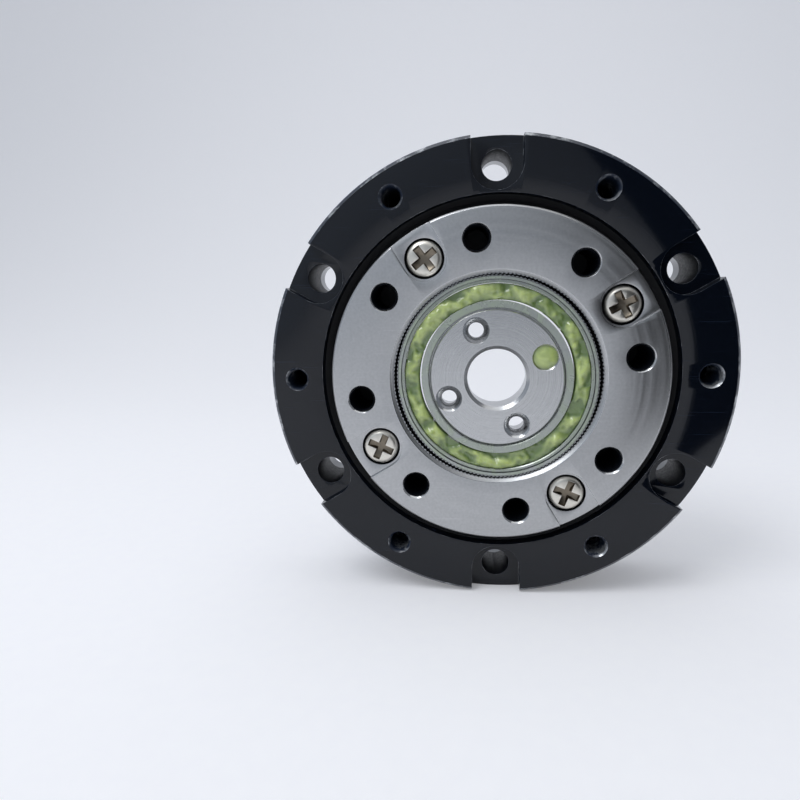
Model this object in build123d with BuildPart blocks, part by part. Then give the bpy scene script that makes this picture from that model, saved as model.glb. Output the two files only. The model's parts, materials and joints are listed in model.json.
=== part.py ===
from build123d import *
import math
import os

# Strain wave gear reducer, hat type, ratio 80 to 1, with its own crossed roller output bearing.
# It stands on its rim: the gear axis is Y, the output side faces -Y and Z is up.
# The origin is on the gear axis in the plane of the housing's front face.
# A depth is a distance behind that face, along +Y. All sizes are in millimetres.

# Circular spline and its screws
spline_diameter = 25.0
spline_thickness = 4.5
spline_tooth_width = 3.2
spline_stands_proud = 0.8
spline_edge_chamfer = 0.15
spline_bore_chamfer = 0.25
output_circle_shift = 0.09
output_hole_count = 8
output_roll = 8.2
output_hole_diameter = 2.1
output_hole_chamfer = 0.2
spline_screw_count = 4
spline_screw_diameter = 1.6
spline_screw_head_diameter = 2.8
spline_screw_head_height = 0.9
spline_screw_head_room = 0.25
spline_screw_head_sink = 0.2
spline_screw_tip_setback = 0.3

# Housing: a flange ring that is also the outer race of the crossed roller bearing
gap_width = 0.9
gap_depth = 1.6
flange_width = 4.1
housing_thickness = 5.4
housing_edge_chamfer = 0.25
bolt_count = 6
bolt_roll = 90.0
through_hole_diameter = 2.2
tapped_hole_diameter = 1.6
tapped_hole_chamfer = 0.2
bolt_recess_web = 0.15
bolt_recess_depth = 1.2

# Teeth
ratio = 80
module = 0.0946
tooth_addendum = 0.06
tooth_dedendum = 0.11
tooth_tip_land = 0.045
tooth_relief = 0.83

# Crossed roller bearing: its inner race is split between the circular spline and a clamp ring
roller_diameter = 1.4
roller_length = 1.3
roller_count = 30
roller_sides = 10
race_half_gap = 0.15
groove_relief = 0.07
inner_ring_thickness = 1.5
spacer_thickness = 0.8
spacer_sides = 8

# Gap seal
seal_thickness = 0.7
seal_lip_clearance = 0.08

# Flexspline
flexspline_tooth_setback = 0.25
flexspline_rim_wall = 0.2
diaphragm_gap = 0.8
diaphragm_thickness = 0.3
boss_thickness = 1.4
boss_bore_step = 0.2
boss_rim_step = 0.1
boss_edge_chamfer = 0.2

# Screws that hold the flexspline's boss on the housing
clamp_screw_diameter = 1.6
clamp_screw_head_diameter = 3.0

# Wave generator
cam_roll = 113.0
plug_setback = 0.15
plug_thickness = 3.8
plug_edge_chamfer = 0.12
input_bore_diameter = 4.4
input_bore_chamfer = 0.25
input_hole_web = 1.7
input_hole_count = 4
input_hole_diameter = 1.3
input_hole_chamfer = 0.4
input_hole_land = 0.2
snap_ring_thickness = 0.28
snap_ring_seat = 0.3
snap_ring_reach = 0.4
snap_ring_gap_angle = 24.0

# Flexible ball bearing
bearing_setback = 0.2
bearing_width = 2.6
inner_race_wall = 0.55
outer_race_wall = 0.25
ball_count = 21
cage_clearance = 0.16
cage_width = 2.0
ball_sides = 8

# Clearances
fit_clearance = 0.02
roller_clearance = 0.05
pocket_clearance = 0.05
hole_clearance = 0.05

# Radii of the teeth, and how far the cam pushes them out
spline_teeth = 2 * ratio + 2
flex_teeth = 2 * ratio
spline_pitch_radius = spline_teeth * module / 2
flex_pitch_radius = flex_teeth * module / 2
deflection = spline_pitch_radius - flex_pitch_radius
spline_tip_radius = spline_pitch_radius - tooth_addendum
spline_root_radius = spline_pitch_radius + tooth_dedendum
flex_root_radius = flex_pitch_radius - tooth_dedendum
flex_bore_radius = flex_root_radius - flexspline_rim_wall

# Radii of the wave generator, from its bore outwards, and of its bearing
input_circle_radius = input_bore_diameter / 2 + input_hole_web
plug_radius = input_circle_radius + input_hole_diameter / 2 + input_hole_chamfer + input_hole_land
snap_ring_radius = plug_radius + snap_ring_reach
snap_groove_radius = plug_radius - snap_ring_seat
inner_race_bore_radius = plug_radius + fit_clearance
inner_race_radius = inner_race_bore_radius + inner_race_wall
outer_race_radius = flex_bore_radius - fit_clearance
ball_path_outer_radius = outer_race_radius - outer_race_wall
ball_circle_radius = (inner_race_radius + ball_path_outer_radius) / 2
ball_path_width = ball_path_outer_radius - inner_race_radius
ball_diameter = ball_path_width - 2 * (deflection + fit_clearance)
cage_wall = ball_diameter - 2 * cage_clearance

# Radii of the circular spline and of the housing round it
spline_radius = spline_diameter / 2
bore_chamfer_radius = spline_root_radius + spline_bore_chamfer
output_circle_radius = (bore_chamfer_radius + spline_radius) / 2 + output_circle_shift
spline_screw_roll = output_roll + 180 / output_hole_count
screw_recess_width = spline_screw_head_diameter + 2 * spline_screw_head_room
inner_ring_bore_radius = spline_root_radius + tooth_relief
gap_bore_radius = spline_radius + gap_width
housing_radius = gap_bore_radius + flange_width
bolt_circle_radius = gap_bore_radius + flange_width / 2
bolt_pitch_angle = 360 / bolt_count
bolt_recess_width = flange_width - 2 * bolt_recess_web
seal_bore_radius = spline_radius + seal_lip_clearance

# Radii of the crossed roller bearing and of the boss behind it
roller_circle_radius = spline_radius + race_half_gap
outer_race_bore_radius = roller_circle_radius + race_half_gap
groove_half_width = roller_diameter / 2 + roller_clearance
groove_reach = groove_half_width * math.sqrt(2)
groove_mouth = groove_reach - race_half_gap
groove_top_radius = roller_circle_radius + groove_reach - groove_relief
groove_bottom_radius = roller_circle_radius - groove_reach + groove_relief
boss_bore_radius = outer_race_bore_radius + boss_bore_step
boss_radius = housing_radius - boss_rim_step

# Depths, from the front to the rear
tooth_front_depth = spline_bore_chamfer - spline_stands_proud
tooth_rear_depth = tooth_front_depth + spline_tooth_width
flex_tooth_rear_depth = tooth_rear_depth - flexspline_tooth_setback
plug_front_depth = tooth_front_depth + plug_setback
plug_rear_depth = plug_front_depth + plug_thickness
bearing_front_depth = tooth_front_depth + bearing_setback
bearing_rear_depth = bearing_front_depth + bearing_width
ball_depth = bearing_front_depth + bearing_width / 2
screw_recess_depth = spline_screw_head_height + spline_screw_head_sink
screw_recess_floor = screw_recess_depth - spline_stands_proud
spline_rear_depth = spline_thickness - spline_stands_proud
roller_depth = spline_rear_depth
inner_ring_rear_depth = spline_rear_depth + inner_ring_thickness
spline_screw_length = inner_ring_rear_depth - spline_screw_tip_setback - screw_recess_floor
diaphragm_front_depth = housing_thickness + diaphragm_gap
diaphragm_rear_depth = diaphragm_front_depth + diaphragm_thickness
boss_rear_depth = housing_thickness + boss_thickness
clamp_screw_length = boss_rear_depth - gap_depth


def face(depth):
    """A plane across the gear axis that looks out of the front, with x to the right and y up."""
    return Plane(origin=(0, depth, 0), x_dir=(1, 0, 0), z_dir=(0, -1, 0))


def back_face(depth):
    """A plane across the gear axis that looks out of the rear, with y up."""
    return Plane(origin=(0, depth, 0), x_dir=(-1, 0, 0), z_dir=(0, 1, 0))


def profile(*outline):
    """A face in the plane of radius and depth, drawn through (radius, depth) points, for turning."""
    with BuildSketch(Plane.XY) as drawn:
        with BuildLine():
            Polyline(*outline, close=True)
        make_face()
    return drawn.sketch


def radial_direction(angle):
    """The unit vector across the gear axis at an angle, in degrees from +X towards +Z."""
    return Vector(math.cos(math.radians(angle)), 0, math.sin(math.radians(angle)))


def tooth_outline(count, root_radius, tip_radius, bend=0, first=0):
    """Points round a toothed rim, three to a tooth: its root and the two corners of its tip land.

    bend is how far the cam pushes the rim out at its long axis and draws it in at its short one,
    and first is the place of the first tooth, in tooth pitches from the long axis.
    """
    pitch = 2 * math.pi / count
    half_land = tooth_tip_land / (2 * tip_radius)
    points = []
    for tooth in range(count):
        centre = (first + tooth) * pitch
        corners = (
            (root_radius, centre - pitch / 2),
            (tip_radius, centre - half_land),
            (tip_radius, centre + half_land),
        )
        for radius, at in corners:
            bent = radius + bend * math.cos(2 * at)
            turn = at - bend / (2 * radius) * math.sin(2 * at) + math.radians(cam_roll)
            points.append((bent * math.cos(turn), bent * math.sin(turn)))
    return points


def cam_oval(radius):
    """The half axes of the oval that the cam gives to a rim of this mean radius."""
    return radius + deflection, radius - deflection


def save(built, name):
    """Labels a finished piece and writes it."""
    built.part.label = name
    export_step(built.part, f"parts/{name}.step")


os.makedirs("parts", exist_ok=True)

# Outer ring: the housing flange, with open recesses for the mounting screws and the outer race
with BuildPart() as outer_ring:
    revolve(
        profile(
            (gap_bore_radius, 0),
            (housing_radius - housing_edge_chamfer, 0),
            (housing_radius, housing_edge_chamfer),
            (housing_radius, housing_thickness),
            (outer_race_bore_radius, housing_thickness),
            (outer_race_bore_radius, roller_depth + groove_mouth),
            (groove_top_radius, roller_depth + groove_relief),
            (groove_top_radius, roller_depth - groove_relief),
            (outer_race_bore_radius, roller_depth - groove_mouth),
            (outer_race_bore_radius, gap_depth),
            (gap_bore_radius, gap_depth),
        ),
        axis=Axis.Y,
    )
    with BuildSketch(face(bolt_recess_depth)):
        with PolarLocations(bolt_circle_radius, bolt_count, bolt_roll):
            Circle(bolt_recess_width / 2)
            Rectangle(bolt_circle_radius, bolt_recess_width, align=(Align.MIN, Align.CENTER))
    extrude(amount=bolt_recess_depth, mode=Mode.SUBTRACT)
    with Locations(face(0)):
        with PolarLocations(bolt_circle_radius, bolt_count, bolt_roll):
            Hole(through_hole_diameter / 2)
        with PolarLocations(bolt_circle_radius, bolt_count, bolt_roll + bolt_pitch_angle / 2):
            CounterSinkHole(
                tapped_hole_diameter / 2,
                tapped_hole_diameter / 2 + tapped_hole_chamfer,
                counter_sink_angle=90,
            )
save(outer_ring, "outer_ring")

# Rubber seal at the bottom of the gap between the housing and the circular spline
with BuildPart() as gap_seal:
    seal_front_depth = gap_depth - seal_thickness
    lip_root_radius = (seal_bore_radius + gap_bore_radius) / 2
    revolve(
        profile(
            (seal_bore_radius, seal_front_depth),
            (lip_root_radius, seal_front_depth + seal_thickness / 2),
            (gap_bore_radius - fit_clearance, seal_front_depth),
            (gap_bore_radius - fit_clearance, gap_depth),
            (outer_race_bore_radius, gap_depth),
        ),
        axis=Axis.Y,
    )
save(gap_seal, "gap_seal")

# Flexspline: a thin toothed cup held oval by the cam, round again at its diaphragm,
# which spreads outwards to a thick boss on the rear of the housing
with BuildPart() as flexspline:
    with BuildSketch(face(flex_tooth_rear_depth)):
        with BuildLine():
            Polyline(
                *tooth_outline(
                    flex_teeth, flex_root_radius, flex_pitch_radius + tooth_addendum, deflection
                ),
                close=True,
            )
        make_face()
    extrude(amount=flex_tooth_rear_depth - tooth_front_depth)
    with BuildSketch(face(flex_tooth_rear_depth)):
        Ellipse(*cam_oval(flex_root_radius), rotation=cam_roll)
    with BuildSketch(face(diaphragm_front_depth)):
        Circle(flex_root_radius)
    loft()
    revolve(
        profile(
            (0, diaphragm_front_depth),
            (boss_bore_radius, diaphragm_front_depth),
            (boss_bore_radius, housing_thickness),
            (boss_radius, housing_thickness),
            (boss_radius, boss_rear_depth - boss_edge_chamfer),
            (boss_radius - boss_edge_chamfer, boss_rear_depth),
            (boss_bore_radius, boss_rear_depth),
            (boss_bore_radius, diaphragm_rear_depth),
            (0, diaphragm_rear_depth),
        ),
        axis=Axis.Y,
    )
    with BuildSketch(face(tooth_front_depth)):
        Ellipse(*cam_oval(flex_bore_radius), rotation=cam_roll)
    with BuildSketch(face(flex_tooth_rear_depth)):
        Ellipse(*cam_oval(flex_bore_radius), rotation=cam_roll)
    loft(mode=Mode.SUBTRACT)
    with BuildSketch(face(flex_tooth_rear_depth)):
        Ellipse(*cam_oval(flex_bore_radius), rotation=cam_roll)
    with BuildSketch(face(diaphragm_rear_depth)):
        Circle(flex_bore_radius)
    loft(mode=Mode.SUBTRACT)
    with Locations(back_face(boss_rear_depth)):
        with PolarLocations(bolt_circle_radius, bolt_count, bolt_roll):
            Hole(through_hole_diameter / 2)
        with PolarLocations(bolt_circle_radius, bolt_count, bolt_roll + bolt_pitch_angle / 2):
            CounterSinkHole(
                clamp_screw_diameter / 2 + hole_clearance,
                clamp_screw_head_diameter / 2 + hole_clearance,
                counter_sink_angle=90,
            )
save(flexspline, "flexspline")

# Screws that hold the flexspline on the outer ring, countersunk into its boss
with BuildPart() as clamp_screw:
    shank_radius = clamp_screw_diameter / 2 - fit_clearance
    head_radius = clamp_screw_head_diameter / 2
    with BuildSketch(Plane.XZ):
        with BuildLine():
            Polyline(
                (0, 0),
                (head_radius, 0),
                (shank_radius, head_radius - shank_radius),
                (shank_radius, clamp_screw_length),
                (0, clamp_screw_length),
                close=True,
            )
        make_face()
    revolve(axis=Axis.Z)
with BuildPart() as clamp_screws:
    with Locations(face(boss_rear_depth)):
        with PolarLocations(bolt_circle_radius, bolt_count, bolt_roll + bolt_pitch_angle / 2):
            add(clamp_screw.part)
save(clamp_screws, "clamp_screws")

# Circular spline: the output ring, with internal teeth, load holes, open recesses for its screws
# and the front half of the inner race
recess_flat_radius = math.sqrt(spline_radius**2 - (screw_recess_width / 2) ** 2)
with BuildPart() as circular_spline:
    revolve(
        profile(
            (bore_chamfer_radius, -spline_stands_proud),
            (spline_radius - spline_edge_chamfer, -spline_stands_proud),
            (spline_radius, spline_edge_chamfer - spline_stands_proud),
            (spline_radius, roller_depth - groove_mouth),
            (groove_bottom_radius, roller_depth - groove_relief),
            (groove_bottom_radius, spline_rear_depth),
            (inner_ring_bore_radius, spline_rear_depth),
            (inner_ring_bore_radius, tooth_rear_depth),
            (spline_root_radius, tooth_rear_depth),
            (spline_root_radius, tooth_front_depth),
        ),
        axis=Axis.Y,
    )
    with BuildSketch(face(tooth_rear_depth)):
        Circle(inner_ring_bore_radius)
        with BuildLine():
            Polyline(
                *tooth_outline(spline_teeth, spline_root_radius, spline_tip_radius, first=0.5),
                close=True,
            )
        make_face(mode=Mode.SUBTRACT)
    extrude(amount=spline_tooth_width)
    with BuildSketch(face(screw_recess_floor)):
        with PolarLocations(output_circle_radius, spline_screw_count, spline_screw_roll):
            Circle(screw_recess_width / 2)
            Rectangle(output_circle_radius, screw_recess_width, align=(Align.MIN, Align.CENTER))
    extrude(amount=screw_recess_depth, mode=Mode.SUBTRACT)
    with BuildSketch(face(gap_depth)):
        with PolarLocations(recess_flat_radius, spline_screw_count, spline_screw_roll):
            Rectangle(screw_recess_width, screw_recess_width, align=(Align.MIN, Align.CENTER))
    extrude(amount=gap_depth - screw_recess_floor, mode=Mode.SUBTRACT)
    with Locations(face(-spline_stands_proud)):
        with PolarLocations(output_circle_radius, output_hole_count, output_roll):
            CounterSinkHole(
                output_hole_diameter / 2,
                output_hole_diameter / 2 + output_hole_chamfer,
                counter_sink_angle=90,
            )
        with PolarLocations(output_circle_radius, spline_screw_count, spline_screw_roll):
            Hole(spline_screw_diameter / 2 + hole_clearance)
save(circular_spline, "circular_spline")

# Clamp ring behind the circular spline, with the rear half of the inner race
with BuildPart() as inner_race_ring:
    revolve(
        profile(
            (inner_ring_bore_radius, spline_rear_depth),
            (groove_bottom_radius, spline_rear_depth),
            (groove_bottom_radius, roller_depth + groove_relief),
            (spline_radius, roller_depth + groove_mouth),
            (spline_radius, inner_ring_rear_depth),
            (inner_ring_bore_radius, inner_ring_rear_depth),
        ),
        axis=Axis.Y,
    )
    with Locations(face(spline_rear_depth)):
        with PolarLocations(output_circle_radius, spline_screw_count, spline_screw_roll):
            Hole(spline_screw_diameter / 2)
save(inner_race_ring, "inner_race_ring")

# Pan head screws that hold the circular spline and the clamp ring together round the rollers
with BuildPart() as spline_screw:
    shank_radius = spline_screw_diameter / 2 - fit_clearance
    head_radius = spline_screw_head_diameter / 2
    with BuildSketch(Plane.XZ):
        with BuildLine():
            Polyline(
                (0, spline_screw_head_height),
                (head_radius - spline_screw_head_height / 2, spline_screw_head_height),
                (head_radius, spline_screw_head_height / 2),
                (head_radius, 0),
                (shank_radius, 0),
                (shank_radius, -spline_screw_length),
                (0, -spline_screw_length),
                close=True,
            )
        make_face()
    revolve(axis=Axis.Z)
with BuildPart() as circular_spline_screws:
    with Locations(face(screw_recess_floor)):
        with PolarLocations(output_circle_radius, spline_screw_count, spline_screw_roll):
            add(spline_screw.part)
save(circular_spline_screws, "circular_spline_screws")

# Crossed rollers, by turns leaning forwards and backwards, with a spacer between each two
roller_pitch_angle = 360 / roller_count
for name, first, lean in (("crossed_rollers_a", 0, 1), ("crossed_rollers_b", 1, -1)):
    with BuildPart() as rollers:
        for number in range(first, roller_count, 2):
            outward = radial_direction(number * roller_pitch_angle)
            centre = outward * roller_circle_radius + Vector(0, roller_depth, 0)
            with BuildSketch(Plane(origin=centre, z_dir=outward + Vector(0, lean, 0))):
                RegularPolygon(roller_diameter / 2, roller_sides)
            extrude(amount=roller_length / 2, both=True)
    save(rollers, name)

with BuildPart() as roller_spacers:
    for number in range(roller_count):
        outward = radial_direction((number + 0.5) * roller_pitch_angle)
        centre = outward * roller_circle_radius + Vector(0, roller_depth, 0)
        with BuildSketch(Plane(origin=centre, z_dir=outward.cross(Vector(0, 1, 0)))):
            RegularPolygon(roller_diameter / 2 - roller_clearance, spacer_sides)
        extrude(amount=spacer_thickness / 2, both=True)
save(roller_spacers, "roller_spacers")

# Wave generator plug: the oval cam, with the input bore and its four tapped holes
snap_groove_rear_depth = bearing_rear_depth + snap_ring_thickness + fit_clearance
with BuildPart() as wave_generator_plug:
    with BuildSketch(face(plug_rear_depth)):
        Ellipse(*cam_oval(plug_radius), rotation=cam_roll)
    extrude(amount=plug_thickness)
    rims = wave_generator_plug.faces().sort_by(Axis.Y)
    chamfer([*rims[0].edges(), *rims[-1].edges()], plug_edge_chamfer)
    revolve(
        profile(
            (snap_groove_radius, bearing_rear_depth),
            (snap_ring_radius, bearing_rear_depth),
            (snap_ring_radius, snap_groove_rear_depth),
            (snap_groove_radius, snap_groove_rear_depth),
        ),
        axis=Axis.Y,
        mode=Mode.SUBTRACT,
    )
    with Locations(face(plug_front_depth)):
        CounterSinkHole(
            input_bore_diameter / 2,
            input_bore_diameter / 2 + input_bore_chamfer,
            counter_sink_angle=90,
        )
        with PolarLocations(input_circle_radius, input_hole_count, cam_roll):
            CounterSinkHole(
                input_hole_diameter / 2,
                input_hole_diameter / 2 + input_hole_chamfer,
                counter_sink_angle=90,
            )
save(wave_generator_plug, "wave_generator_plug")

# Snap ring behind the flexible bearing, in the plug's groove
with BuildPart() as snap_ring:
    with BuildSketch(face(snap_groove_rear_depth - fit_clearance)):
        Circle(snap_ring_radius)
        Circle(snap_groove_radius + fit_clearance, mode=Mode.SUBTRACT)
        with BuildLine():
            reach = 2 * snap_ring_radius
            half_gap = math.radians(snap_ring_gap_angle / 2)
            Polyline(
                (0, 0),
                (reach * math.sin(half_gap), -reach * math.cos(half_gap)),
                (-reach * math.sin(half_gap), -reach * math.cos(half_gap)),
                close=True,
            )
        make_face(mode=Mode.SUBTRACT)
    extrude(amount=snap_ring_thickness)
save(snap_ring, "snap_ring")

# Races of the flexible bearing: the cam holds the inner one oval, and it shapes the outer one
for name, outer, inner in (
    ("flexible_inner_race", inner_race_radius, inner_race_bore_radius),
    ("flexible_outer_race", outer_race_radius, ball_path_outer_radius),
):
    with BuildPart() as race:
        with BuildSketch(face(bearing_rear_depth)):
            Ellipse(*cam_oval(outer), rotation=cam_roll)
            Ellipse(*cam_oval(inner), rotation=cam_roll, mode=Mode.SUBTRACT)
        extrude(amount=bearing_width)
    save(race, name)

# Crown cage of the flexible bearing: its fingers point forwards between the balls
ball_pitch_angle = 360 / ball_count
with BuildPart() as ball_cage:
    with BuildSketch(face(ball_depth + cage_width / 2)):
        Circle(ball_circle_radius + cage_wall / 2)
        Circle(ball_circle_radius - cage_wall / 2, mode=Mode.SUBTRACT)
    extrude(amount=cage_width)
    with BuildSketch(face(ball_depth + ball_diameter / 2 + pocket_clearance)):
        with PolarLocations(ball_circle_radius, ball_count):
            Rectangle(2 * cage_wall, ball_diameter + 2 * pocket_clearance)
    extrude(amount=cage_width, mode=Mode.SUBTRACT)
save(ball_cage, "ball_cage")

# Balls of the flexible bearing, each drawn with flat facets
facet_chamfer = ball_diameter / (2 + math.sqrt(2))
with BuildPart() as ball_form:
    with BuildSketch(Plane.XY):
        RegularPolygon(ball_diameter / 2, ball_sides, major_radius=False)
    extrude(amount=ball_diameter / 2, both=True)
    ends = ball_form.faces().sort_by(Axis.Z)
    chamfer([*ends[0].edges(), *ends[-1].edges()], facet_chamfer)
for number in range(ball_count):
    outward = radial_direction(number * ball_pitch_angle)
    centre = outward * ball_circle_radius + Vector(0, ball_depth, 0)
    with BuildPart() as ball:
        with Locations(Plane(origin=centre, x_dir=outward, z_dir=(0, -1, 0))):
            add(ball_form.part)
    save(ball, f"ball_{number + 1:02d}")
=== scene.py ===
import json
import math

import bmesh
import bpy
from mathutils import Euler, Matrix, Vector, noise


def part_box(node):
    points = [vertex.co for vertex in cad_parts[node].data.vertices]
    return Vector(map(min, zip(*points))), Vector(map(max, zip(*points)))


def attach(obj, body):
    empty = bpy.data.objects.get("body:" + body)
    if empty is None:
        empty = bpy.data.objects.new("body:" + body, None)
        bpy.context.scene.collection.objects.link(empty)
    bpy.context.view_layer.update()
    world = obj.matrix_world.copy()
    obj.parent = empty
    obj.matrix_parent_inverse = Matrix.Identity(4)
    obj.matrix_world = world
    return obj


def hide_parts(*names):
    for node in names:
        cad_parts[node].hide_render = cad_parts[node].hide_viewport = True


bl_info = {
    "name": "Strain wave gear reducer",
    "version": (1, 0, 0),
    "blender": (4, 5, 0),
    "location": "View3D > Sidebar > Gear reducer",
    "description": "Builds the visible pieces, finishes and studio of a small gear reducer",
    "category": "Object",
}

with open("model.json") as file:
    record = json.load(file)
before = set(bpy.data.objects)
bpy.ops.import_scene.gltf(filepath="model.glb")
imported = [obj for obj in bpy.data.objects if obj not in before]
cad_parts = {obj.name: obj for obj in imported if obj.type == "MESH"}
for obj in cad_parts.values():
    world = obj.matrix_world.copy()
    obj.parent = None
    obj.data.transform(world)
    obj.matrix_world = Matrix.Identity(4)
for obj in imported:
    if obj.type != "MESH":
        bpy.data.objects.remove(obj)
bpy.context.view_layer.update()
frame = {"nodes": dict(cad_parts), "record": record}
MM = 0.001
MOUNTS = {mount["name"]: mount for mount in frame["record"]["mounts"]}


def depths(node):
    """Front and rear depth of a CAD node along the gear axis."""
    low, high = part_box(node)
    return low[1], high[1]


def half_width(node):
    """The radius of a round CAD node that is centred on the gear axis."""
    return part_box(node)[1][0]


def hole_circle(mount):
    """Radius of a mount's hole circle, radius of its holes and their number."""
    sizes = MOUNTS[mount]["dims"]
    return sizes["pcd_mm"] / 2 * MM, sizes["hole_r_mm"] * MM, sizes["count"]


HOUSING_RADIUS = half_width("outer_ring")
HOUSING_FRONT, HOUSING_REAR = depths("outer_ring")
SPLINE_RADIUS = half_width("circular_spline")
SPLINE_FRONT, SPLINE_REAR = depths("circular_spline")
TOOTH_FRONT, BOSS_REAR = depths("flexspline")
BOSS_RADIUS = half_width("flexspline")
BEARING_FRONT, BEARING_REAR = depths("flexible_inner_race")
PLUG_FRONT, PLUG_REAR = depths("wave_generator_plug")
SEAL_FRONT, SEAL_REAR = depths("gap_seal")
CAGE_FRONT, CAGE_REAR = depths("ball_cage")
FLANGE_CIRCLE, FLANGE_HOLE, FLANGE_COUNT = hole_circle("flange_holes")
OUTPUT_CIRCLE, OUTPUT_HOLE, OUTPUT_COUNT = hole_circle("output_holes")
INPUT_CIRCLE, INPUT_HOLE, INPUT_COUNT = hole_circle("input_holes")
INPUT_BORE = MOUNTS["input_bore"]["dims"]["r_mm"] * MM

# Radii and depths; a depth runs backwards from the housing's front face
GAP_BORE_RADIUS = 13.4 * MM
GAP_DEPTH = 1.6 * MM
RACE_BORE_RADIUS = 12.8 * MM
TAPPED_RADIUS = 0.8 * MM
RECESS_DEPTH = 1.2 * MM
RECESS_RADIUS = 1.9 * MM
SCREW_RECESS_RADIUS = 1.65 * MM
SCREW_POCKET_RADIUS = SCREW_RECESS_RADIUS - 0.18 * MM
SCREW_FLOOR = 0.3 * MM
SCREW_CHANNEL = -0.4 * MM
SCREW_HEAD_RADIUS = 1.4 * MM
SCREW_HEAD_HEIGHT = 0.9 * MM
SCREW_SHANK_RADIUS = 0.78 * MM
SCREW_HOLE_RADIUS = 0.85 * MM
BOSS_SCREW_RADIUS = 1.5 * MM
CROSS_REACH = 1.02 * MM
CROSS_WIDTH = 0.27 * MM
SPLINE_ROOT_RADIUS = 7.76 * MM
SPLINE_TIP_RADIUS = 7.69 * MM
SPLINE_TOOTH_REAR = 2.65 * MM
FLEX_ROOT_RADIUS = 7.49 * MM
FLEX_TIP_RADIUS = 7.565 * MM
FLEX_BORE_RADIUS = 7.258 * MM
FLEX_TOOTH_REAR = 2.4 * MM
DEFLECTION = 0.0946 * MM
DIAPHRAGM_DEPTH = 6.2 * MM
PLUG_RADIUS = 5.15 * MM
INNER_RACE_RADIUS = 5.72 * MM
OUTER_RACE_RADIUS = 7.238 * MM
BALL_PATH_RADIUS = 6.988 * MM
BALL_CIRCLE = 6.354 * MM
BALL_RADIUS = 0.519 * MM
GREASE_LEVEL = CAGE_FRONT - 0.08 * MM
GREASE_REAR = 0.75 * MM
THREAD_CHAMFER = 0.12 * MM
MARK_DEPTH = 0.01 * MM
# How far a cutter reaches past what it cuts, and in front of a hole
SPARE = 1 * MM
HOLE_LEAD = 0.1 * MM

SCREW_COUNT = 4
SPLINE_TEETH = 162
FLEX_TEETH = 160
BALL_COUNT = 21
# A tooth's half widths, as shares of the tooth pitch
TOOTH_FOOT = 0.46
TOOTH_LAND = 0.1

# Where each circle starts, in degrees counter-clockwise from the right
FLANGE_ROLL = 90
OUTPUT_ROLL = 8.2
SCREW_ROLL = 30.7
CAM_ROLL = 113
# How far each screw is turned about its own axis, in degrees
OUTPUT_SCREW_TURNS = (64, 52, 24, 22)
BOSS_SCREW_TURNS = (0, 38, 10, 90, 66, 21)
# Edges over the first angle look sharp, and those over the second are rounded
SMOOTH_ANGLE = 35
EDGE_ANGLE = 38

PAPER_GLOW = 0.25
WORLD_STRENGTH = 0.62
CAMERA_PLACE = Vector((-2.101, -45.352, 6.78)) * MM
CAMERA_ANGLES = (79.5, 1.429, 6.371)


class GearSizes(bpy.types.PropertyGroup):
    facets: bpy.props.IntProperty(
        name="Facets", description="Straight edges round each large ring", default=192, min=48
    )
    edge_round: bpy.props.FloatProperty(
        name="Edge rounding", description="Width of the rounding on machined edges",
        default=0.05 * MM, unit="LENGTH",
    )
    thread_pitch: bpy.props.FloatProperty(
        name="Thread pitch", description="Pitch of the threads in the tapped holes",
        default=0.35 * MM, unit="LENGTH",
    )
    thread_height: bpy.props.FloatProperty(
        name="Thread height", description="Height of the threads in the tapped holes",
        default=0.07 * MM, unit="LENGTH",
    )
    grease_lump: bpy.props.FloatProperty(
        name="Grease lumps", description="How far the lumps of grease stand up",
        default=0.3 * MM, unit="LENGTH",
    )
    lens: bpy.props.FloatProperty(
        name="Lens", description="Focal length of the camera in millimetres", default=27.0
    )


def colour_property(name, description, rgb):
    """A colour that a user can change."""
    return bpy.props.FloatVectorProperty(
        name=name, description=description, default=rgb, size=3, min=0, max=1, subtype="COLOR"
    )


class GearColours(bpy.types.PropertyGroup):
    black: colour_property("Black finish", "The housing's blackened steel", (0.003, 0.0046, 0.0085))
    spline: colour_property("Output ring", "The circular spline's satin steel", (0.46, 0.465, 0.47))
    plug: colour_property("Cam plug", "The wave generator plug's bright steel", (0.50, 0.505, 0.51))
    race: colour_property("Bearing steel", "Races, balls and rollers", (0.36, 0.37, 0.38))
    nickel: colour_property("Screws", "Nickel plate of the output screws", (0.72, 0.69, 0.62))
    bore: colour_property("Flange holes", "Inside of the flange holes", (0.16, 0.165, 0.17))
    greased: colour_property("Greased races", "The races' greasy rims", (0.36, 0.42, 0.31))
    # Painted shade: the cross recesses take this colour, far darker than the nickel screws.
    slot: colour_property("Cross recess", "Inside of the screws' recesses", (0.21, 0.18, 0.14))
    grease: colour_property("Grease", "Grease in the flexible bearing", (0.62, 0.72, 0.27))
    # Painted shade: the grease takes this darker green in its dips between the lumps.
    grease_shade: colour_property("Deep grease", "Grease in the dips", (0.17, 0.25, 0.085))
    rubber: colour_property("Seal", "Rubber of the gap seal", (0.012, 0.012, 0.013))
    backdrop: colour_property("Backdrop", "Floor and backdrop", (0.79, 0.79, 0.81))


# Meshes


def polar(radius, angle, depth=0.0):
    """A point at a radius and an angle in degrees round the gear axis."""
    turn = math.radians(angle)
    return Vector((radius * math.cos(turn), depth, radius * math.sin(turn)))


def oval(radius, angle):
    """The radius to which the cam bends a rim of this mean radius, at an angle in degrees."""
    return radius + DEFLECTION * math.cos(2 * math.radians(angle - CAM_ROLL))


def directions(angle):
    """Unit vectors away from the gear axis and round it, at an angle in degrees."""
    along = polar(1, angle)
    return along, Vector((-along.z, 0, along.x))


def bridge(mesh, loops, slots=None):
    """Faces from each closed loop of vertices to the next.

    slots holds a material slot for each stretch of a loop.
    """
    for near, far in zip(loops, loops[1:]):
        for corner in range(len(near)):
            after = (corner + 1) % len(near)
            face = mesh.faces.new((near[corner], near[after], far[after], far[corner]))
            face.material_index = slots[corner] if slots else 0


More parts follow.
